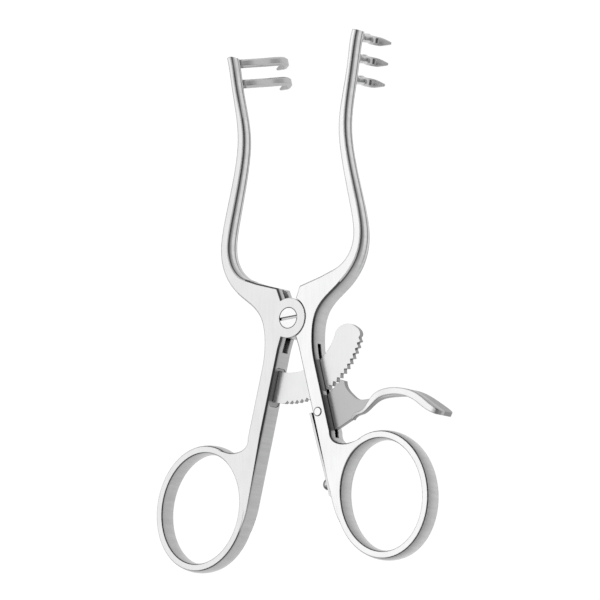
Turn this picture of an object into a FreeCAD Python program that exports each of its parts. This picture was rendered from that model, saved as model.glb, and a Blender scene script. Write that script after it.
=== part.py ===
import FreeCAD, Part
import math
import os

# A self retaining retractor, 13 cm pattern. Millimetres and degrees.
# X points to the thumb lever side, Y to the prongs, Z to the front of the instrument.
# The joint axis is the Z axis, the back face of the joint lies on z = 0.

V = FreeCAD.Vector

# Body and joint
BODY_T = 5.6
EDGE_SOFT = 0.38
CHEEK_FRONT = 1.9
CHEEK_BACK = 1.6
DISK_R = 4.8
RECESS_CLEAR = 0.25
TONGUE_CLEAR = 0.05
SCREW_HEAD_R = 2.5
SCREW_HEAD_H = 0.9
SCREW_SHAFT_R = 1.6
SCREW_SLOT_W = 0.7
SCREW_SLOT_D = 0.5
SCREW_SLOT_TILT = 4.0
RUNNING_FIT = 0.05
SEAT_FIT = 0.01

# Shanks
SHANK_TOP_X = 4.0
SHANK_TOP_Y = -11.9
SHANK_SLOPE = 0.2513
SHANK_W = 3.9
SHANK_BEND_Y = -43.8

SHANK_OUT_TOP = -12.5
SHANK_OUT_LOW = -28.0
SHANK_KNEE_Y = -7.2
TAPER_TOP = -27.0
TAPER_LOW = -46.0
ROOT_SLOPE = (15.5, 21.4)

# Outline of the joint block and of the ring's root, right half
SHOULDER = [(1.0, -2.0), (1.0, 2.0), (1.95, 4.4), (3.1, 7.45), (9.1, 9.15), (12.42, 10.36)]
FLANK = [(14.80, 7.11), (12.1, 4.95), (9.9, 3.1), (8.3, 1.0), (7.4, -1.5), (7.05, -4.6), (7.2, -8.4)]
THROAT = (1.95, -4.7)
CROTCH = [(12.95, -30.35), (14.7, -31.05), (16.9, -31.1), (19.4, -30.55), (22.0, -29.8)]
RING_ROOT = [(22.0, -31.5), (18.0, -36.0), (18.0, -48.0), (15.15, -51.05)]
RING_TOE = (13.2, -47.5)

# The pocket's run-out in the left half's inner wall, above and below the joint disk
POCKET = [(0.5, 8.8), (-4.5, 8.8), (-3.5, 5.0), (-3.0, 0.0), (-3.4, -5.0), (-3.9, -7.9), (0.5, -7.9)]

# Finger rings
RING_X = 25.86
RING_Y = -43.82
RING_RX = 12.05
RING_RY = 14.25
RING_TILT = 12.0
RING_LAND = 1.3
RING_BULGE = 0.5
RING_DEPTH = 4.8
RING_PROUD = 0.03

# Arms: x, y, width and depth of the cross sections along the centre line
ARM_SECTIONS = [
    (13.60, 8.75, 4.10, 5.60),
    (16.60, 11.30, 3.05, 5.00),
    (18.50, 14.70, 2.60, 4.45),
    (19.15, 18.30, 2.45, 4.10),
    (18.75, 22.60, 2.40, 3.90),
    (17.00, 30.40, 2.30, 3.70),
    (15.35, 38.10, 2.15, 3.50),
    (14.75, 42.60, 2.10, 3.45),
    (14.72, 46.60, 2.00, 3.45),
    (15.40, 51.60, 1.75, 3.55),
    (16.85, 59.30, 1.50, 3.70),
]
ARM_END_SLOPE = 10.6
ARM_END_W = 1.5
ARM_END_D = 3.8
ARM_ROUND = 0.55
RIGHT_ARM_END = 70.2
LEFT_ARM_END = 67.8

# Prongs
RIGHT_PRONGS = [69.05, 63.95, 58.80]
LEFT_PRONGS = [66.70, 61.50]
PRONG_W = 2.15
PRONG_T = 1.35
PRONG_ROOT = 3.8
PRONG_SLANT = 26.0
PRONG_STEM = 12.7
PRONG_BEND_R = 2.0
PRONG_HOOK = 75.0
PRONG_POINT = 2.9
PRONG_RAKE = 0.095
PRONG_DROOP = 0.5

# Ratchet bar
TOOTH_PITCH = 4.05
TOOTH_COUNT = 20
TOOTH_FIRST = -16.2
TOOTH_TIP_R = 20.3
TOOTH_DEPTH = 0.7
BAR_INNER_R = 12.9
BAR_T = 1.3
SLOT_W = 1.4
SLOT_TOP = -5.9
SLOT_BELOW = 6.2
BAR_ROOT_ANGLE = -112.0
BAR_NOSE = [(0.042, -15.14), (0.234, -10.23), (0.50, -9.1), (0.704, -10.7), (0.845, -12.6), (0.918, -14.5)]
BAR_NOSE_END = 0.936
FOOT_L = TOOTH_TIP_R - BAR_INNER_R + 1.9
FOOT_W = 4.36
FOOT_D = 2.2
FOOT_Y = -0.485 * (TOOTH_TIP_R + BAR_INNER_R)

# Thumb lever
PIN_BELOW = 4.28
PIN_ANGLE = -70.02
PIN_R = 1.05
LIFT = 5.7
PAWL_GAP = 0.2
PAD_W = 7.6
PAD_SOFT = 0.16

# Outline of the lever, measured from its pin
LEVER_BROW = [(6.5, 5.75), (8.6, 3.35), (9.9, 2.45), (11.8, 2.17), (13.7, 2.30)]
LEVER_BELLY = [(14.2, 1.35), (11.6, -0.3), (7.9, -2.25), (4.5, -3.9)]
LEVER_HEEL = [(4.5, -3.9), (3.2, -4.45), (0.9, -4.1), (-0.25, -3.0), (-1.15, -1.8), (-1.45, -0.5)]
LEVER_FRONT = [(-1.45, -0.5), (-1.65, 0.9), (-1.05, 2.4)]

# Thumb band, measured from the pin: x, y, thickness, share of the pad's width, angle
THUMB_BAND = [
    (8.30, -2.10, 0.60, 0.185, 28.0),
    (10.90, -0.72, 0.75, 0.210, 29.0),
    (13.00, 0.85, 1.15, 0.240, 36.0),
    (15.10, 2.55, 1.70, 0.330, 33.0),
    (18.30, 3.30, 1.80, 0.550, 14.0),
    (22.10, 3.20, 1.70, 0.737, 0.0),
    (25.00, 2.53, 1.75, 0.743, -20.0),
    (27.30, 1.47, 1.82, 0.776, -31.0),
    (30.30, -0.58, 1.82, 0.947, -36.0),
    (32.40, -1.95, 1.52, 1.000, -32.0),
    (33.20, -2.43, 1.35, 0.930, -30.0),
    (33.75, -2.73, 1.15, 0.760, -28.0),
    (34.05, -2.88, 0.90, 0.550, -27.0),
]

# Leaf spring
SPRING_W = 4.6
SPRING_T = 0.6
SPRING_GAP = 0.42
SPRING_SCREW_Y = -39.8
SPRING_HEAD_R = 1.6
SPRING_HEAD_H = 0.75
SPRING_SHAFT_R = 0.8

MID = BODY_T / 2.0
PIN_X = (TOOTH_TIP_R + PIN_BELOW) * math.cos(math.radians(PIN_ANGLE))
PIN_Y = (TOOTH_TIP_R + PIN_BELOW) * math.sin(math.radians(PIN_ANGLE))


def polar(radius, angle):
    a = math.radians(angle)
    return (radius * math.cos(a), radius * math.sin(a))


def line(a, b):
    return Part.makeLine(V(a[0], a[1], 0), V(b[0], b[1], 0))


def curve(points):
    spline = Part.BSplineCurve()
    spline.interpolate([V(p[0], p[1], 0) for p in points])
    return spline.toShape()


def arc(a, m, b):
    return Part.Arc(V(a[0], a[1], 0), V(m[0], m[1], 0), V(b[0], b[1], 0)).toShape()


def path_lines(points):
    return [line(points[i], points[i + 1]) for i in range(len(points) - 1)]


def slab(edges, z0, z1):
    face = Part.Face(Part.Wire(edges))
    face.translate(V(0, 0, z0))
    return face.extrude(V(0, 0, z1 - z0))


def rod(radius, z0, z1, x=0.0, y=0.0):
    return Part.makeCylinder(radius, z1 - z0, V(x, y, z0))


def turned(shape, angle, x=0.0, y=0.0):
    out = shape.copy()
    out.rotate(V(x, y, 0), V(0, 0, 1), angle)
    return out


def rotate_point(p, angle, centre):
    a = math.radians(angle)
    dx = p[0] - centre[0]
    dy = p[1] - centre[1]
    x = centre[0] + dx * math.cos(a) - dy * math.sin(a)
    y = centre[1] + dx * math.sin(a) + dy * math.cos(a)
    return (x, y)


def soft_section(centre, across, deep, width, depth, radius, steps):
    """A closed rectangle with each corner taken off in `steps` flats: width along `across`, depth along `deep`."""
    w = width / 2.0
    d = depth / 2.0
    r = min(radius, 0.48 * width, 0.48 * depth)
    points = []
    for corner, (sx, sy) in enumerate([(1, 1), (-1, 1), (-1, -1), (1, -1)]):
        for step in range(steps + 1):
            a = math.radians(90.0 * corner + 90.0 * step / steps)
            u = sx * (w - r) + r * math.cos(a)
            v = sy * (d - r) + r * math.sin(a)
            points.append(centre + across * u + deep * v)
    return Part.makePolygon(points + [points[0]])


def shank_x(y):
    """Inner side of a shank, measured on the right half."""
    return SHANK_TOP_X + SHANK_SLOPE * (SHANK_TOP_Y - y)


def shank_frame():
    """Unit vectors down the shank and out of its inner wall, on the right half."""
    n = math.hypot(SHANK_SLOPE, 1.0)
    down = V(SHANK_SLOPE / n, -1.0 / n, 0)
    inward = V(-1.0 / n, -SHANK_SLOPE / n, 0)
    return down, inward


def ring_ellipse(offset):
    """The finger ring's oval, grown by `offset`, as an edge on z = 0."""
    oval = Part.Ellipse(V(0, 0, 0), RING_RY + offset, RING_RX + offset).toShape()
    oval.rotate(V(0, 0, 0), V(0, 0, 1), 90.0 + RING_TILT)
    oval.translate(V(RING_X, RING_Y, 0))
    return oval


def ring_body():
    """The ring: a band with flat front and back lands and softly bulged walls."""
    path = Part.Wire([ring_ellipse(0.0)])
    path.translate(V(0, 0, MID))
    start = path.Edges[0].valueAt(path.Edges[0].FirstParameter)
    outward = V(start.x - RING_X, start.y - RING_Y, 0).normalize()
    up = V(0, 0, 1)
    land = RING_LAND / 2.0
    bevel = 0.2
    h = RING_DEPTH / 2.0
    side = land + bevel

    def at(u, v):
        return start + outward * u + up * v

    section = Part.Wire(
        [
            Part.makeLine(at(-land, h), at(land, h)),
            Part.makeLine(at(land, h), at(side, h - bevel)),
            Part.Arc(at(side, h - bevel), at(land + RING_BULGE, 0), at(side, bevel - h)).toShape(),
            Part.makeLine(at(side, bevel - h), at(land, -h)),
            Part.makeLine(at(land, -h), at(-land, -h)),
            Part.makeLine(at(-land, -h), at(-side, bevel - h)),
            Part.Arc(at(-side, bevel - h), at(-land - RING_BULGE, 0), at(-side, h - bevel)).toShape(),
            Part.makeLine(at(-side, h - bevel), at(-land, h)),
        ]
    )
    return path.makePipeShell([section], True, False)


def plate_edges():
    """Outline of the flat part of a half: joint shoulder, shank and root of the ring."""
    low = (shank_x(SHANK_BEND_Y), SHANK_BEND_Y)
    knee = (shank_x(SHANK_KNEE_Y), SHANK_KNEE_Y)
    outer_low = (shank_x(SHANK_OUT_LOW) + SHANK_W, SHANK_OUT_LOW)
    neck = line(SHOULDER[-1], FLANK[0])
    levels = [SHANK_OUT_TOP + (SHANK_OUT_LOW - SHANK_OUT_TOP) * part for part in (0.0, 0.2, 0.5, 0.8, 1.0)]
    outer = curve(FLANK + [(shank_x(y) + SHANK_W, y) for y in levels])
    crotch = curve([outer_low] + CROTCH)
    inside = path_lines([CROTCH[-1]] + RING_ROOT)
    bottom = curve([RING_ROOT[-1], RING_TOE, low])
    inner = line(low, knee)
    back = path_lines([knee, THROAT, SHOULDER[0]])
    return path_lines(SHOULDER) + [neck, outer, crotch] + inside + [bottom, inner] + back


def taper_cuts():
    """Thins the lower shank to just under the ring's depth, front and back."""
    step = (BODY_T - RING_DEPTH) / 2.0 + RING_PROUD
    below = RING_Y - 1.5 * RING_RY
    cuts = []
    for z_face, sign in ((BODY_T, -1.0), (0.0, 1.0)):
        pts = [
            V(0, TAPER_TOP, z_face),
            V(0, TAPER_LOW, z_face + sign * step),
            V(0, below, z_face + sign * step),
            V(0, below, z_face - sign * 1.0),
            V(0, TAPER_TOP, z_face - sign * 1.0),
        ]
        face = Part.Face(Part.makePolygon(pts + [pts[0]]))
        cuts.append(face.extrude(V(RING_X + 1.5 * RING_RX, 0, 0)))
        # The root slopes down once more across to the ring, and so ends level with its land.
        far = RING_X + 1.5 * RING_RX
        pts = [
            V(ROOT_SLOPE[0], TAPER_TOP, z_face),
            V(ROOT_SLOPE[1], TAPER_TOP, z_face + sign * step),
            V(far, TAPER_TOP, z_face + sign * step),
            V(far, TAPER_TOP, z_face - sign * 1.0),
            V(ROOT_SLOPE[0], TAPER_TOP, z_face - sign * 1.0),
        ]
        face = Part.Face(Part.makePolygon(pts + [pts[0]]))
        cuts.append(face.extrude(V(0, below - TAPER_TOP, 0)))
    return cuts


def flat_body():
    """Joint block and shank with softened edges, cut out for the finger hole."""
    body = slab(plate_edges(), 0.0, BODY_T)
    soft = []
    for edge in body.Edges:
        box = edge.BoundBox
        flat = box.ZLength < 1e-6
        at_ring = box.XMin > 14.0 and box.YMax < -29.0
        at_joint = box.YMin > -5.0 and box.XMax < 2.0
        at_arm = box.XMin > 12.3 and box.YMin > 7.0
        if flat and not at_ring and not at_joint and not at_arm:
            soft.append(edge)
    body = body.makeChamfer(EDGE_SOFT, soft)
    hole = slab([ring_ellipse(-RING_LAND / 2.0)], -1.0, BODY_T + 1.0)
    body = body.cut(hole)
    for cut in taper_cuts():
        body = body.cut(cut)
    return body


def arm_direction():
    a = math.radians(ARM_END_SLOPE)
    return V(math.sin(a), math.cos(a), 0), V(-math.cos(a), math.sin(a), 0)


def station(distance):
    """The point on the arm's straight end at this distance from the joint, along the arm."""
    along, _ = arm_direction()
    x, y = ARM_SECTIONS[-1][:2]
    here = x * along.x + y * along.y
    return V(x, y, MID) + along * (distance - here)


def arm_body(end_distance):
    """The slender arm as one smooth body through its cross sections."""
    along, _ = arm_direction()
    tip = station(end_distance)
    rows = ARM_SECTIONS + [(tip.x, tip.y, ARM_END_W, ARM_END_D)]
    spline = Part.BSplineCurve()
    spline.interpolate([V(r[0], r[1], 0) for r in rows])
    wires = []
    for i, (x, y, width, depth) in enumerate(rows):
        if i == 0:
            tangent = V(0.807, 0.590, 0)
        elif i >= len(rows) - 2:
            tangent = along
        else:
            tangent = spline.tangent(spline.parameter(V(x, y, 0)))[0]
        tangent.normalize()
        across = V(tangent.y, -tangent.x, 0)
        wires.append(soft_section(V(x, y, MID), across, V(0, 0, 1), width, depth, ARM_ROUND, 2))
    return Part.makeLoft(wires, True, False)


def prong_path():
    """Centre line of a prong: inward shift, depth below the arm's front edge, angle from straight down."""
    rows = [(0.0, PRONG_ROOT - 1.6, 0.0)]
    bend = 3.0
    for part in range(4):
        a = PRONG_SLANT * part / 3.0
        t = math.radians(a)
        rows.append((bend * (1.0 - math.cos(t)), PRONG_ROOT - 1.0 + bend * math.sin(t), a))
    slant = math.radians(PRONG_SLANT)
    w, d, _ = rows[-1]
    run = PRONG_STEM - bend * slant / 2.0
    for part in (0.5, 1.0):
        rows.append((w + run * part * math.sin(slant), d + run * part * math.cos(slant), PRONG_SLANT))
    w, d, _ = rows[-1]
    cw = w - PRONG_BEND_R * math.cos(slant)
    cd = d + PRONG_BEND_R * math.sin(slant)
    for part in range(1, 6):
        a = PRONG_SLANT - (PRONG_SLANT + PRONG_HOOK) * part / 5.0
        t = math.radians(a)
        rows.append((cw + PRONG_BEND_R * math.cos(t), cd - PRONG_BEND_R * math.sin(t), a))
    w, d, a = rows[-1]
    t = math.radians(a)
    for part in (0.35, 0.7, 1.0):
        step = PRONG_POINT * part
        rows.append((w + step * math.sin(t), d + step * math.cos(t), a))
    return rows


def prong(distance):
    """One prong: slanted stem, outward hook and tapered blunt point."""
    along, inward = arm_direction()
    widths = [1.9, 1.9, 1.95, 2.0, 2.0, 2.0, 2.0, 2.0, 2.0, 2.0, 2.0, 1.95, 1.6, 1.05, 0.5]
    thick = [1.10, 1.15, 1.20, 1.25, 1.30, 1.35, 1.3, 1.25, 1.2, 1.1, 1.0, 0.9, 0.75, 0.55, 0.35]
    wires = []
    root = station(distance)
    front = MID + ARM_END_D / 2.0
    for i, (w, d, angle) in enumerate(prong_path()):
        t = math.radians(angle)
        centre = V(root.x, root.y, 0) + inward * w + V(0, 0, front - d)
        lean = PRONG_RAKE * max(0.0, d - PRONG_ROOT) - PRONG_DROOP * max(0, i - 6) / 8.0
        centre = centre + along * lean
        normal = inward * math.cos(t) + V(0, 0, math.sin(t))
        scale_w = PRONG_W / 2.0
        scale_t = PRONG_T / 1.35
        radius = 0.36 * thick[i]
        wires.append(soft_section(centre, along, normal, widths[i] * scale_w, thick[i] * scale_t, radius, 1))
    return Part.makeLoft(wires, True, False)


def half_blank(end_distance, prongs):
    """A complete half, drawn on the right side, before the joint is cut."""
    body = flat_body().fuse(arm_body(end_distance))
    body = body.fuse(ring_body())
    for distance in prongs:
        body = body.fuse(prong(distance))
    return body


def left_arm():
    """The box side of the joint: two round cheeks with a pocket between them for the tongue."""
    body = half_blank(LEFT_ARM_END, LEFT_PRONGS).mirror(V(0, 0, 0), V(1, 0, 0))
    front = BODY_T - CHEEK_FRONT
    body = body.fuse(rod(DISK_R, front, BODY_T))
    body = body.fuse(rod(DISK_R, 0.0, CHEEK_BACK))
    body = body.cut(rod(DISK_R + RECESS_CLEAR, CHEEK_BACK, front))
    body = body.cut(slab(path_lines(POCKET + [POCKET[0]]), CHEEK_BACK, front))
    body = body.cut(rod(SCREW_SHAFT_R + SEAT_FIT, -1.0, BODY_T + 1.0))
    body = body.cut(rod(SCREW_HEAD_R + 0.03, BODY_T - SCREW_HEAD_H, BODY_T + 1.0))
    return body.cut(foot_block(0.02, 0.5))


def right_arm():
    """The tongue side of the joint, with the long slot for the bar and the lever."""
    body = half_blank(RIGHT_ARM_END, RIGHT_PRONGS)
    low = CHEEK_BACK + TONGUE_CLEAR
    high = BODY_T - CHEEK_FRONT - TONGUE_CLEAR
    body = body.cut(rod(DISK_R + RECESS_CLEAR, -1.0, low))
    body = body.cut(rod(DISK_R + RECESS_CLEAR, high, BODY_T + 1.0))
    body = body.fuse(rod(DISK_R, low, high))
    body = body.cut(rod(SCREW_SHAFT_R + RUNNING_FIT, -1.0, BODY_T + 1.0))
    top = SLOT_TOP
    low = PIN_Y - SLOT_BELOW
    ends = [(0.0, top - 2.0), (13.0, top + 0.6), (17.0, low + 0.4), (5.0, low - 0.6), (0.0, top - 2.0)]
    body = body.cut(slab(path_lines(ends), MID - SLOT_W / 2.0, MID + SLOT_W / 2.0))
    body = body.cut(rod(PIN_R + SEAT_FIT, -1.0, BODY_T + 1.0, PIN_X, PIN_Y))
    _, inward = shank_frame()
    foot = V(shank_x(SPRING_SCREW_Y), SPRING_SCREW_Y, MID)
    hole = Part.makeCylinder(SPRING_SHAFT_R + SEAT_FIT, 3.5, foot + inward * 1.0, inward * -1.0)
    return body.cut(hole)


def joint_screw():
    """Flush slotted head, plain shaft through the tongue into the back cheek."""
    body = rod(SCREW_HEAD_R, BODY_T - SCREW_HEAD_H, BODY_T - 0.02)
    rim = [e for e in body.Edges if e.BoundBox.ZMin > BODY_T - 0.1 and e.Length > 5.0]
    body = body.makeChamfer(0.1, rim)
    body = body.fuse(rod(SCREW_SHAFT_R, 0.15, BODY_T - SCREW_HEAD_H))
    slot = Part.makeBox(6.0, SCREW_SLOT_W, 2.0, V(-3.0, -SCREW_SLOT_W / 2.0, BODY_T - SCREW_SLOT_D))
    return body.cut(turned(slot, SCREW_SLOT_TILT))


def foot_block(grow, proud):
    """The bar's foot, or with `grow` the mortise for it, in the left shank's inner wall."""
    down, inward = shank_frame()
    centre = V(shank_x(FOOT_Y), FOOT_Y, MID)
    length = FOOT_L + 2.0 * grow
    width = FOOT_W + 2.0 * grow
    section = soft_section(centre + inward * proud, down, V(0, 0, 1), length, width, 1.2 + grow, 6)
    body = Part.Face(section).extrude(inward * -(FOOT_D + proud))
    return body.mirror(V(0, 0, 0), V(1, 0, 0))


def bar_edges():
    """Outline of the toothed bar, from its root round the free end and back along the teeth."""
    inner_end = polar(BAR_INNER_R, -22.0)
    inner = arc(polar(BAR_INNER_R, BAR_ROOT_ANGLE), polar(BAR_INNER_R, -67.0), inner_end)
    band = TOOTH_TIP_R - BAR_INNER_R
    outer_start = polar(BAR_INNER_R + band * BAR_NOSE_END, TOOTH_FIRST)
    nose = [inner_end] + [polar(BAR_INNER_R + band * part, angle) for part, angle in BAR_NOSE] + [outer_start]
    tip = curve(nose)
    low = TOOTH_TIP_R - TOOTH_DEPTH
    points = [outer_start]
    for k in range(TOOTH_COUNT):
        angle = TOOTH_FIRST - TOOTH_PITCH * k
        if k > 0:
            points.append(polar(TOOTH_TIP_R, angle))
        points.append(polar(low, angle - 1.55))
        points.append(polar(low, angle - 1.85))
        points.append(polar(TOOTH_TIP_R, angle - TOOTH_PITCH + 0.2))
    last = points[-1]
    end = polar(TOOTH_TIP_R, BAR_ROOT_ANGLE)
    heel = arc(last, polar(TOOTH_TIP_R, -104.0), end)
    return [inner, tip] + path_lines(points) + [heel, line(end, polar(BAR_INNER_R, BAR_ROOT_ANGLE))]


def ratchet_bar():
    """Toothed bar with the foot that sits in the left shank."""
    bar = slab(bar_edges(), MID - BAR_T / 2.0, MID + BAR_T / 2.0)
    # What would lie inside the left shank is cut off here, and the foot carries the rest.
    waste = Part.makeBox(30.0, 60.0, 20.0, V(-30.0, -30.0, -5.0))
    waste.rotate(V(0, 0, 0), V(0, 0, 1), -math.degrees(math.atan(SHANK_SLOPE)))
    waste.translate(V(-shank_x(FOOT_Y) - 0.5, FOOT_Y, 0))
    return bar.cut(waste).fuse(foot_block(0.0, -0.12))


def pawl_points():
    """Toothed edge of the pawl where it meshes with the bar, from the shank outwards."""
    high = TOOTH_TIP_R + 0.10
    low = TOOTH_TIP_R - TOOTH_DEPTH + 0.10
    points = [polar(TOOTH_TIP_R + 0.75, -63.5), polar(high + 0.2, -59.4)]
    for k in (9, 8):
        angle = TOOTH_FIRST - TOOTH_PITCH * k
        points.append(polar(high, angle - TOOTH_PITCH - 0.05))
        points.append(polar(low, angle - 1.85 - PAWL_GAP * 0.2))
        points.append(polar(low, angle - 1.55 - PAWL_GAP * 0.9))
    points.append(polar(high, TOOTH_FIRST - TOOTH_PITCH * 8 - 0.25))
    return points


def from_pin(points):
    return [(PIN_X + x, PIN_Y + y) for x, y in points]


def thumb_lever():
    """Pawl, eye, neck and thumb pad. It is drawn with the pawl lifted just clear of the teeth."""
    pin = (PIN_X, PIN_Y)
    teeth = [rotate_point(p, -LIFT, pin) for p in pawl_points()]
    crest = teeth[-1]
    brow = (crest[0] + 0.45, crest[1] - 0.15)
    upper = from_pin(LEVER_BROW)
    belly = from_pin(LEVER_BELLY)
    heel = from_pin(LEVER_HEEL)
    edges = path_lines(teeth + [brow])
    edges.append(curve([brow] + upper))
    edges.append(line(upper[-1], belly[0]))
    edges.append(curve(belly))
    edges.extend(path_lines(heel))
    edges.append(curve(from_pin(LEVER_FRONT) + [teeth[0]]))
    body = slab(edges, MID - BAR_T / 2.0, MID + BAR_T / 2.0)
    body = body.fuse(thumb_pad())
    return body.cut(rod(PIN_R + RUNNING_FIT, -1.0, BODY_T + 1.0, PIN_X, PIN_Y))


def thumb_pad():
    """The curved band that widens into the thumb pad."""
    wires = []
    for x, y, thick, share, angle in THUMB_BAND:
        a = math.radians(angle)
        across = V(-math.sin(a), math.cos(a), 0)
        centre = V(PIN_X + x, PIN_Y + y, MID)
        wires.append(soft_section(centre, V(0, 0, 1), across, PAD_W * share, thick, PAD_SOFT * thick, 2))
    return Part.makeLoft(wires, True, False)


def lever_pin():
    """Plain pin with chamfered ends, the front one a little proud."""
    body = rod(PIN_R, 0.05, BODY_T + 0.12, PIN_X, PIN_Y)
    rims = [e for e in body.Edges if e.BoundBox.ZLength < 1e-6]
    return body.makeChamfer(0.15, rims)


def spring_point(y, off):
    _, inward = shank_frame()
    return V(shank_x(y), y, 0) + inward * off


def leaf_spring():
    """Flat spring: screwed to the shank below, bowed away from it towards its free upper end."""
    near = [(-43.2, 0.01), (-41.6, 0.01), (-38.0, 0.01), (-34.0, 0.16), (-29.5, 0.34), (-25.5, SPRING_GAP)]
    inner = [spring_point(y, g) for y, g in near] + [spring_point(-23.0, SPRING_GAP + 0.12)]
    outer = [spring_point(y, g + SPRING_T) for y, g in near[1:]] + [spring_point(-23.0, SPRING_GAP + 0.12 + SPRING_T)]
    start = spring_point(-43.7, 0.01)
    toe = spring_point(-42.9, SPRING_T)
    flat_in = [line((start.x, start.y), (inner[2].x, inner[2].y))]
    bow_in = curve([(p.x, p.y) for p in inner[2:]])
    cap = line((inner[-1].x, inner[-1].y), (outer[-1].x, outer[-1].y))
    bow_out = curve([(p.x, p.y) for p in reversed(outer[1:])])
    flat_out = line((outer[1].x, outer[1].y), (toe.x, toe.y))
    close = line((toe.x, toe.y), (start.x, start.y))
    z0 = MID - SPRING_W / 2.0
    body = slab(flat_in + [bow_in, cap, bow_out, flat_out, close], z0, z0 + SPRING_W)
    _, inward = shank_frame()
    at = spring_point(SPRING_SCREW_Y, -1.0) + V(0, 0, MID)
    return body.cut(Part.makeCylinder(SPRING_SHAFT_R + SEAT_FIT, 4.0, at, inward))


def spring_screw():
    """Low bevelled head on the spring, short shaft in the shank, a driver slot across the head."""
    _, inward = shank_frame()
    seat = spring_point(SPRING_SCREW_Y, SPRING_T + 0.03) + V(0, 0, MID)
    head = Part.makeCylinder(SPRING_HEAD_R, SPRING_HEAD_H, seat, inward)
    crown = [e for e in head.Edges if e.Length > 5.0 and (e.CenterOfMass - seat).dot(inward) > SPRING_HEAD_H / 2.0]
    head = head.makeChamfer(SPRING_HEAD_H * 0.48, crown)
    shaft = Part.makeCylinder(SPRING_SHAFT_R, SPRING_T + 2.3, seat, inward * -1.0)
    body = head.fuse(shaft)
    slot = Part.makeBox(0.5, 6.0, 0.5, V(-0.25, -3.0, -0.25))
    slot.rotate(V(0, 0, 0), V(0, 0, 1), 0.0)
    slot.Placement = FreeCAD.Placement(
        seat + inward * (SPRING_HEAD_H + 0.02),
        FreeCAD.Rotation(V(0, 0, 1), inward),
    ).multiply(slot.Placement)
    return body.cut(slot)


PIECES = {
    "left_arm": left_arm,
    "right_arm": right_arm,
    "joint_screw": joint_screw,
    "ratchet_bar": ratchet_bar,
    "thumb_lever": thumb_lever,
    "lever_pin": lever_pin,
    "leaf_spring": leaf_spring,
    "spring_screw": spring_screw,
}


def main():
    os.makedirs("parts", exist_ok=True)
    for name, make in PIECES.items():
        shape = make()
        if shape.ShapeType != "Solid":
            solids = shape.Solids
            if len(solids) != 1:
                raise ValueError(name + " has " + str(len(solids)) + " solids")
            shape = solids[0]
        if not shape.isValid():
            raise ValueError(name + " is not valid")
        shape.exportStep("parts/" + name + ".step")


main()
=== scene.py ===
import math

import bpy
from mathutils import Matrix, Vector


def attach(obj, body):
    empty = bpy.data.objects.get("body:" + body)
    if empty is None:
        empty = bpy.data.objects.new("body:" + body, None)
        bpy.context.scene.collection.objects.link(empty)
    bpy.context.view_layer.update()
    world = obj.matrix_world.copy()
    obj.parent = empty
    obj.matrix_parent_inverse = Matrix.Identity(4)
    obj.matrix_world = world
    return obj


# A self retaining retractor of brushed and polished steel on a white table
# Metres. X points to the thumb lever, Y to the prongs and Z to the front, as in the CAD

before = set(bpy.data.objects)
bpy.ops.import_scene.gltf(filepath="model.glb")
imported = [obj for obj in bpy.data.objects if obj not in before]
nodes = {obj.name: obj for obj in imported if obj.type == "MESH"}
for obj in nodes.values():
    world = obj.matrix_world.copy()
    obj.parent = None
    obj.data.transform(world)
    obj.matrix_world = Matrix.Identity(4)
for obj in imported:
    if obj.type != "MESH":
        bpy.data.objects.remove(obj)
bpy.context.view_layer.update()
scene = bpy.context.scene

# The spring's screw, which points out of the right shank's inner wall
SPRING_SIDE = Vector((-0.96984, -0.24372, 0.0))
SPRING_HEAD_H = 0.00075
CROWN_TOLERANCE = 0.00005
DOME_R = 0.00165
DOME_H = 0.0022

# How far a normal leans to Z where walls end and where faces start, for the painted light by facing
WALL_END = (0.20, 0.33)
FACE_START = (0.78, 0.91)
LOOKS_RIGHT = (-0.15, 0.15)

# Where the painted tones change: depth of the walls, back face, start of the slender arms
WALL_SPAN = 0.006
BACK_FACE = (-0.0004, 0.0006)
ARMS_START = (0.009, 0.017)

# The prongs: inward of the arms' straight ends, which lean out by this angle
ARM_LEAN = math.radians(10.6)
ACROSS_ARM_END = (math.cos(ARM_LEAN), -math.sin(ARM_LEAN), 0.0)
INNER_WALL = (0.0046, 0.0049)
ARM_ENDS = (0.050, 0.052)

# Reach of the shade in corners and gaps
CORNER_REACH = 0.0004
GAP_REACH = 0.004

# The finish
BRUSHED = (1.0, 0.05, 1.0)
EVEN = (1.0, 1.0, 1.0)
DRAWN_ACROSS = (1.0, 1.0, 0.08)
FINE_GRAIN = 2600.0
POLISH_GRAIN = 900.0
STROKE_GRAIN = 1100.0
CLOUD_GRAIN = 140.0
ROUGH_SPREAD = 0.05
RELIEF_DEPTH = 0.0001
# Samples of the painted shade, the painted rim lines and the rounded edges
SHADE_SAMPLES = 8

# Painted shade and reflections on the walls, as tones from the back, position 0, to 6 mm in front of it,
# position 1
# The arms' stripes are painted reflections and shade: dark and light bands along the depth
ARM_PAINTED_STRIPES = [
    (0.17, 0.35), (0.21, 0.75), (0.28, 0.82), (0.32, 0.28), (0.36, 0.28),
    (0.40, 0.78), (0.54, 0.80), (0.60, 0.45), (0.68, 0.28), (0.76, 0.10),
]
LEFT_WALLS = [(0.0, 0.56), (0.76, 0.52), (0.90, 0.22)]
RIGHT_WALLS = [(0.0, 0.64), (0.42, 0.60), (0.64, 0.50), (0.76, 0.38), (0.90, 0.15)]
LEVER_WALLS = [(0.4, 0.55), (0.7, 0.50), (0.95, 0.34)]
BAR_WALLS = [(0.0, 0.36)]
POLISHED_WALLS = [(0.0, 0.40)]
SMALL_SCREW_WALLS = [(0.0, 0.12)]
SPRING_WALLS = [(0.0, 0.15)]

# The lever's plate gets painted shade, darker than its band, which stands further to the front
LEVER_PLATE = (0.0035, 0.0037, 0.57)

# The photograph's view: the camera's axes and place, and its lens on a 36 mm frame
CAMERA_RIGHT = Vector((0.82588, -0.00156, -0.56384))
CAMERA_UP = Vector((0.09008, 0.98752, 0.12922))
CAMERA_BACK = Vector((0.5566, -0.15751, 0.81571))
CAMERA_PLACE = Vector((0.58231, -0.15985, 0.85396))
CAMERA_LENS = 263.04

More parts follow.
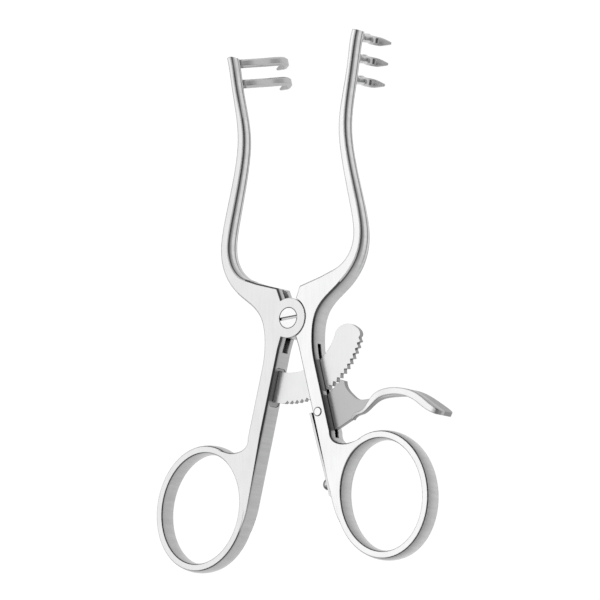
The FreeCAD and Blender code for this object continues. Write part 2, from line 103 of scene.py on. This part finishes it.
# Light and backdrop
TABLE_CENTRE = Vector((0.001, 0.005, 0.0))
KEY_PLACE = Vector((-0.60, 0.17, 0.80))
KEY_SIZE = 1.2
KEY_POWER = 2.8
ROOM_TONES = [(0.10, 0.66), (0.40, (0.6, 0.6, 0.61))]
CARD_SIDE = (0.815, 0.158, 0.556)
CARD_TONES = [(0.86, 1.0), (0.95, 0.08)]
FLOOR_Z = -0.0142
FLOOR_SIZE = 6.0
FLOOR_WHITE = 1.08
FLOOR_TO_CAMERA = 0.9
FLOOR_TO_METAL = 0.7


def node_of(tree, kind, x, y, **values):
    """A new shader node with its properties or its inputs set."""
    node = tree.nodes.new(kind)
    node.location = (x, y)
    for key, value in values.items():
        if hasattr(node, key):
            setattr(node, key, value)
        else:
            node.inputs[key].default_value = value
    return node


def value_of(tree, x, y, value):
    node = node_of(tree, "ShaderNodeValue", x, y)
    node.outputs["Value"].default_value = value
    return node.outputs["Value"]


def mapped(tree, x, y, source, low, high, to_low, to_high):
    """Rescales a value, held within the new range."""
    node = node_of(tree, "ShaderNodeMapRange", x, y)
    node.inputs["From Min"].default_value = low
    node.inputs["From Max"].default_value = high
    node.inputs["To Min"].default_value = to_low
    node.inputs["To Max"].default_value = to_high
    tree.links.new(source, node.inputs["Value"])
    return node.outputs["Result"]


def times(tree, x, y, a, b):
    node = node_of(tree, "ShaderNodeMath", x, y, operation="MULTIPLY")
    tree.links.new(a, node.inputs[0])
    tree.links.new(b, node.inputs[1])
    return node.outputs["Value"]


def larger_of(tree, x, y, a, b):
    node = node_of(tree, "ShaderNodeMath", x, y, operation="MAXIMUM")
    tree.links.new(a, node.inputs[0])
    tree.links.new(b, node.inputs[1])
    return node.outputs["Value"]


def along_axis(tree, x, y, vector, axis):
    """How far a vector reaches along an axis."""
    node = node_of(tree, "ShaderNodeVectorMath", x, y, operation="DOT_PRODUCT")
    node.inputs[1].default_value = axis
    tree.links.new(vector, node.inputs[0])
    return node.outputs["Value"]


def ramp(tree, x, y, source, stops):
    """Tones along a value, as (position, tone) pairs. A tone is a grey or a colour."""
    node = node_of(tree, "ShaderNodeValToRGB", x, y)
    elements = node.color_ramp.elements
    if len(stops) == 1:
        stops = [(0.0, stops[0][1]), (1.0, stops[0][1])]
    while len(elements) < len(stops):
        elements.new(1.0)
    for element, (position, tone) in zip(elements, stops):
        colour = tone if isinstance(tone, tuple) else (tone, tone, tone)
        element.position = position
        element.color = (*colour, 1.0)
    tree.links.new(source, node.inputs["Fac"])
    return node.outputs["Color"]


def blend_of(tree, x, y, share, a, b):
    """`a` where the share is 0, `b` where it is 1."""
    node = node_of(tree, "ShaderNodeMix", x, y, data_type="FLOAT")
    tree.links.new(share, node.inputs[0])
    tree.links.new(a, node.inputs[2])
    tree.links.new(b, node.inputs[3])
    return node.outputs[0]


def noise_of(tree, x, y, place, scale, detail, roughness=0.5, stretch=EVEN):
    """Noise on the piece's own coordinates, drawn out along the axes that `stretch` shrinks."""
    turned = node_of(tree, "ShaderNodeMapping", x - 200, y, Scale=stretch)
    tree.links.new(place, turned.inputs["Vector"])
    noise = node_of(tree, "ShaderNodeTexNoise", x, y, Scale=scale, Detail=detail, Roughness=roughness)
    tree.links.new(turned.outputs["Vector"], noise.inputs["Vector"])
    return noise.outputs["Fac"]


def tone_by_facing(tree, level, x_of_normal, face, lit_edge, dark_edge):
    """Painted light by facing: the faces' tone, 1 on the walls, and between them edges with painted
    reflections, darker where they look right.
    """
    tones = []
    for y, edge in ((180, lit_edge), (420, dark_edge)):
        stops = [(WALL_END[0], 1.0), (WALL_END[1], edge), (FACE_START[0], edge), (FACE_START[1], face)]
        tones.append(ramp(tree, -900, y, level, stops))
    rightward = mapped(tree, -900, 620, x_of_normal, *LOOKS_RIGHT, 0.0, 1.0)
    return blend_of(tree, -600, 420, rightward, *tones)


def tone_of_walls(tree, spot, walls, slender):
    """Painted shade and reflections on the walls by their depth, with the painted reflection stripes of the
    slender arms.
    """
    depth = mapped(tree, -1100, 1100, spot.outputs["Z"], 0.0, WALL_SPAN, 0.0, 1.0)
    layers = ramp(tree, -900, 1100, depth, walls)
    if slender:
        stripes = ramp(tree, -900, 1350, depth, slender)
        beyond = mapped(tree, -900, 1550, spot.outputs["Y"], *ARMS_START, 0.0, 1.0)
        layers = blend_of(tree, -600, 1200, beyond, layers, stripes)
    return layers


def off_the_prongs(tree, place, y_of_place):
    """0 on the prongs, which stand inward of the arms' straight ends, and 1 elsewhere."""
    mirrored = node_of(tree, "ShaderNodeVectorMath", -1300, 2600, operation="ABSOLUTE")
    tree.links.new(place, mirrored.inputs[0])
    outward = along_axis(tree, -1100, 2600, mirrored.outputs["Vector"], ACROSS_ARM_END)
    on_the_arm = mapped(tree, -900, 2600, outward, *INNER_WALL, 0.0, 1.0)
    below_the_ends = mapped(tree, -900, 2800, y_of_place, *ARM_ENDS, 1.0, 0.0)
    return larger_of(tree, -700, 2700, on_the_arm, below_the_ends)


def openness(tree, x, y, reach, low, high, least):
    """Painted shade: 1 in the open, falling to `least` where other steel is within reach."""
    near = node_of(tree, "ShaderNodeAmbientOcclusion", x, y, samples=SHADE_SAMPLES, Distance=reach)
    return mapped(tree, x + 300, y, near.outputs["AO"], low, high, least, 1.0)


def rim_lines(tree, normal, rim):
    """Painted dark reflections: thin dark lines along the rims of a plate, 1 away from them."""
    rounded = node_of(tree, "ShaderNodeBevel", -700, 2300, samples=SHADE_SAMPLES, Radius=rim)
    same = node_of(tree, "ShaderNodeVectorMath", -500, 2300, operation="DOT_PRODUCT")
    tree.links.new(rounded.outputs["Normal"], same.inputs[0])
    tree.links.new(normal, same.inputs[1])
    return mapped(tree, -300, 2300, same.outputs["Value"], 0.85, 0.99, 0.08, 1.0)


def soft_relief(tree, lines, soft, bump):
    """A normal with rounded edges and the relief of the brushed lines."""
    rounded = node_of(tree, "ShaderNodeBevel", 300, -300, samples=SHADE_SAMPLES, Radius=soft)
    relief = node_of(tree, "ShaderNodeBump", 600, -300, Strength=bump, Distance=RELIEF_DEPTH)
    tree.links.new(lines, relief.inputs["Height"])
    tree.links.new(rounded.outputs["Normal"], relief.inputs["Normal"])
    return relief.outputs["Normal"]


def steel(
    name, face, walls, rough, soft, grain=FINE_GRAIN, stretch=BRUSHED, bump=0.02,
    lit_edge=0.5, dark_edge=0.12, slender=None, hollow=0.45, rim=None, step=None
):
    """Stainless steel with painted light: bright faces, walls in painted shade and reflections, and painted
    shade in corners.

    `face` is the tone of the front and back, `walls` has the walls' painted tones and `slender` the painted
    stripes of the arms. `soft` is the radius that edges are rounded to, `hollow` the openness under which
    gaps turn dark with painted shade, `rim` the width of painted dark rim lines, and `step` paints shade on
    what lies further back.
    """
    material = bpy.data.materials.new(name)
    material.use_nodes = True
    tree = material.node_tree
    tree.nodes.clear()
    output = node_of(tree, "ShaderNodeOutputMaterial", 1400, 0)
    shader = node_of(tree, "ShaderNodeBsdfPrincipled", 1100, 0, Metallic=1.0)
    tree.links.new(shader.outputs["BSDF"], output.inputs["Surface"])

    place = node_of(tree, "ShaderNodeTexCoord", -1500, 0).outputs["Object"]
    spot = node_of(tree, "ShaderNodeSeparateXYZ", -1300, 650)
    tree.links.new(place, spot.inputs["Vector"])
    normal = node_of(tree, "ShaderNodeNewGeometry", -1500, 420).outputs["True Normal"]
    facing = node_of(tree, "ShaderNodeSeparateXYZ", -1300, 420)
    tree.links.new(normal, facing.inputs["Vector"])
    flatness = node_of(tree, "ShaderNodeMath", -1100, 420, operation="ABSOLUTE")
    tree.links.new(facing.outputs["Z"], flatness.inputs[0])
    level = flatness.outputs["Value"]
    off_walls = mapped(tree, -700, 1000, level, *WALL_END, 0.0, 1.0)
    one = value_of(tree, -700, 1600, 1.0)

    # Painted light by facing on faces, edges and walls, with the walls' painted tones
    tone = tone_by_facing(tree, level, facing.outputs["X"], face, lit_edge, dark_edge)
    layers = tone_of_walls(tree, spot, walls, slender)
    tone = times(tree, -200, 420, tone, blend_of(tree, -400, 1100, off_walls, layers, one))

    # One plain tone behind the back face and on the prongs
    in_front = mapped(tree, -400, 800, spot.outputs["Z"], *BACK_FACE, 0.0, 1.0)
    if slender:
        in_front = times(tree, -250, 800, in_front, off_the_prongs(tree, place, spot.outputs["Y"]))
    plain = value_of(tree, -400, 960, walls[0][1])
    tone = blend_of(tree, -100, 520, in_front, plain, tone)

    # Painted shade in corners, gaps and on the set-back step, and painted dark lines along the rims
    tone = times(tree, 0, 600, tone, openness(tree, -700, 1800, CORNER_REACH, 0.45, 0.85, 0.05))
    tone = times(tree, 0, 750, tone, openness(tree, -700, 2000, GAP_REACH, 0.12, hollow, 0.04))
    if rim:
        lines_only = blend_of(tree, -100, 2300, off_walls, rim_lines(tree, normal, rim), one)
        tone = times(tree, 100, 700, tone, lines_only)
    if step:
        tone = times(tree, 200, 700, tone, mapped(tree, -400, 2500, spot.outputs["Z"], *step, 1.0))

    # Brushed lines on the faces, strokes across the walls and soft clouds on both
    lines = noise_of(tree, -1100, 0, place, grain, 5.0, 0.6, stretch)
    clouds = noise_of(tree, -1100, -250, place, CLOUD_GRAIN, 4.0)
    strokes = noise_of(tree, -1100, -500, place, STROKE_GRAIN, 4.0, stretch=DRAWN_ACROSS)
    tone = times(tree, 300, 500, tone, mapped(tree, -700, -250, clouds, 0.3, 0.7, 0.95, 1.0))
    across = mapped(tree, -700, -500, strokes, 0.35, 0.65, 0.91, 1.0)
    along = mapped(tree, -700, 0, lines, 0.3, 0.7, 0.93, 1.0)
    tone = times(tree, 400, 400, tone, blend_of(tree, -400, -300, off_walls, across, along))

    grey = node_of(tree, "ShaderNodeCombineColor", 600, 300)
    for channel in ("Red", "Green", "Blue"):
        tree.links.new(tone, grey.inputs[channel])
    tree.links.new(grey.outputs["Color"], shader.inputs["Base Color"])
    spread = mapped(tree, -400, -120, lines, 0.25, 0.75, rough - ROUGH_SPREAD, rough + ROUGH_SPREAD)
    tree.links.new(spread, shader.inputs["Roughness"])
    tree.links.new(soft_relief(tree, lines, soft, bump), shader.inputs["Normal"])
    return material


# The two arms' steels differ only in painted light: the left arm's faces are painted darker and its walls in
# other painted tones
left_steel = steel("satin_steel_left", 0.72, LEFT_WALLS, 0.24, 0.0004, slender=ARM_PAINTED_STRIPES)
right_steel = steel("satin_steel_right", 0.82, RIGHT_WALLS, 0.24, 0.0004, slender=ARM_PAINTED_STRIPES)
bar_steel = steel("bar_steel", 0.76, BAR_WALLS, 0.32, 0.0001, rim=0.0002, hollow=0.2)
lever_steel = steel("lever_steel", 0.82, LEVER_WALLS, 0.30, 0.0002, dark_edge=0.30, step=LEVER_PLATE)
bright = steel(
    "polished_steel", 0.84, POLISHED_WALLS, 0.18, 0.0002,
    grain=POLISH_GRAIN, stretch=EVEN, bump=0.005, dark_edge=0.05, hollow=0.8
)
# The screw's head is painted dark on its sloping edges and walls, a painted shade that rounds its dome
small_steel = steel("small_screw_steel", 0.6, SMALL_SCREW_WALLS, 0.22, 0.0001, lit_edge=0.1)
spring_steel = steel("spring_steel", 0.66, SPRING_WALLS, 0.25, 0.00015)

LOOKS = {
    "left_arm": left_steel,
    "right_arm": right_steel,
    "joint_screw": bright,
    "ratchet_bar": bar_steel,
    "thumb_lever": lever_steel,
    "lever_pin": bright,
    "leaf_spring": spring_steel,
    "spring_screw": small_steel,
}
for name, look in LOOKS.items():
    mesh = nodes[name].data
    mesh.materials.clear()
    mesh.materials.append(look)


def screw_dome():
    """The domed head of the spring's screw, over the low head of the solid."""
    screw = nodes["spring_screw"]
    points = [screw.matrix_world @ v.co for v in screw.data.vertices]
    crown = max(p.dot(SPRING_SIDE) for p in points)
    top = [p for p in points if p.dot(SPRING_SIDE) > crown - CROWN_TOLERANCE]
    seat = sum(top, Vector()) / len(top) - SPRING_SIDE * SPRING_HEAD_H
    turned = SPRING_SIDE.to_track_quat("Z", "Y").to_euler()
    bpy.ops.object.select_all(action="DESELECT")
    bpy.ops.mesh.primitive_uv_sphere_add(
        segments=40, ring_count=24, radius=DOME_R, location=seat, rotation=turned,
        scale=(1.0, 1.0, DOME_H / DOME_R)
    )
    dome = bpy.context.active_object
    dome.name = "spring_screw_dome"
    dome.data.name = "spring_screw_dome"
    bpy.ops.object.transform_apply(location=True, rotation=True, scale=True)
    bpy.ops.object.mode_set(mode="EDIT")
    bpy.ops.mesh.select_all(action="SELECT")
    bpy.ops.mesh.bisect(plane_co=seat, plane_no=SPRING_SIDE, use_fill=True, clear_inner=True, threshold=1e-6)
    bpy.ops.mesh.select_all(action="SELECT")
    bpy.ops.mesh.normals_make_consistent(inside=False)
    bpy.ops.object.mode_set(mode="OBJECT")
    bpy.ops.object.shade_smooth_by_angle(angle=math.radians(40.0))
    dome.data.materials.append(small_steel)
    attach(dome, "right_half")


def photo_camera():
    """The camera at the photograph's viewing angle."""
    data = bpy.data.cameras.new("camera")
    data.sensor_fit = "HORIZONTAL"
    data.sensor_width = 36.0
    data.lens = CAMERA_LENS
    data.clip_start = 0.05
    data.clip_end = 20.0
    camera = bpy.data.objects.new("camera", data)
    scene.collection.objects.link(camera)
    turn = Matrix((CAMERA_RIGHT, CAMERA_UP, CAMERA_BACK)).transposed()
    camera.matrix_world = Matrix.Translation(CAMERA_PLACE) @ turn.to_4x4()
    scene.camera = camera


def key_lamp():
    """One large soft lamp at the upper left, which the front faces mirror."""
    data = bpy.data.lights.new("key", "AREA")
    data.shape = "SQUARE"
    data.size = KEY_SIZE
    data.energy = KEY_POWER
    lamp = bpy.data.objects.new("key", data)
    scene.collection.objects.link(lamp)
    lamp.location = TABLE_CENTRE + KEY_PLACE
    lamp.rotation_mode = "QUATERNION"
    lamp.rotation_quaternion = (TABLE_CENTRE - lamp.location).to_track_quat("-Z", "Y")


def studio_world():
    """A pale room with one dark card at the right, white where the camera sees it."""
    world = bpy.data.worlds.new("studio")
    scene.world = world
    world.use_nodes = True
    tree = world.node_tree
    tree.nodes.clear()
    where = node_of(tree, "ShaderNodeTexCoord", -900, 0).outputs["Generated"]
    height = node_of(tree, "ShaderNodeSeparateXYZ", -700, 200)
    tree.links.new(where, height.inputs["Vector"])
    room = ramp(tree, -450, 200, height.outputs["Z"], ROOM_TONES)
    card = ramp(tree, -450, -100, along_axis(tree, -700, -100, where, CARD_SIDE), CARD_TONES)
    dimmed = node_of(tree, "ShaderNodeVectorMath", 50, 50, operation="MULTIPLY")
    tree.links.new(room, dimmed.inputs[0])
    tree.links.new(card, dimmed.inputs[1])
    light = node_of(tree, "ShaderNodeBackground", 300, 0)
    tree.links.new(dimmed.outputs["Vector"], light.inputs["Color"])
    paper = node_of(tree, "ShaderNodeBackground", 300, -150, Color=(1.0, 1.0, 1.0, 1.0))
    path = node_of(tree, "ShaderNodeLightPath", 300, 300)
    choice = node_of(tree, "ShaderNodeMixShader", 500, 0)
    tree.links.new(path.outputs["Is Camera Ray"], choice.inputs["Fac"])
    tree.links.new(light.outputs["Background"], choice.inputs[1])
    tree.links.new(paper.outputs["Background"], choice.inputs[2])
    output = node_of(tree, "ShaderNodeOutputWorld", 700, 0)
    tree.links.new(choice.outputs["Shader"], output.inputs["Surface"])


def white_floor():
    """A pale floor that takes the shadow, and is near white to the camera and to the metal."""
    material = bpy.data.materials.new("floor")
    material.use_nodes = True
    tree = material.node_tree
    tree.nodes.clear()
    plain = node_of(tree, "ShaderNodeBsdfDiffuse", 0, -100, Color=(0.8, 0.8, 0.8, 1.0))
    white = node_of(tree, "ShaderNodeEmission", 0, 100, Color=(1.0, 1.0, 1.0, 1.0), Strength=FLOOR_WHITE)
    path = node_of(tree, "ShaderNodeLightPath", -700, 300)
    metal = larger_of(tree, -450, 300, path.outputs["Is Glossy Ray"], path.outputs["Is Transmission Ray"])
    metal_share = value_of(tree, -450, 100, FLOOR_TO_METAL)
    camera_share = value_of(tree, -250, 100, FLOOR_TO_CAMERA)
    to_metal = times(tree, -250, 300, metal, metal_share)
    to_camera = times(tree, -50, 300, path.outputs["Is Camera Ray"], camera_share)
    pick = node_of(tree, "ShaderNodeMixShader", 300, 0)
    tree.links.new(larger_of(tree, 120, 300, to_camera, to_metal), pick.inputs["Fac"])
    tree.links.new(plain.outputs["BSDF"], pick.inputs[1])
    tree.links.new(white.outputs["Emission"], pick.inputs[2])
    output = node_of(tree, "ShaderNodeOutputMaterial", 600, 0)
    tree.links.new(pick.outputs["Shader"], output.inputs["Surface"])

    bpy.ops.object.select_all(action="DESELECT")
    bpy.ops.mesh.primitive_plane_add(size=FLOOR_SIZE, location=(0.0, 0.0, FLOOR_Z))
    floor = bpy.context.active_object
    floor.name = "floor"
    floor.data.materials.append(material)


screw_dome()
photo_camera()
key_lamp()
studio_world()
white_floor()
scene.view_settings.view_transform = "Standard"
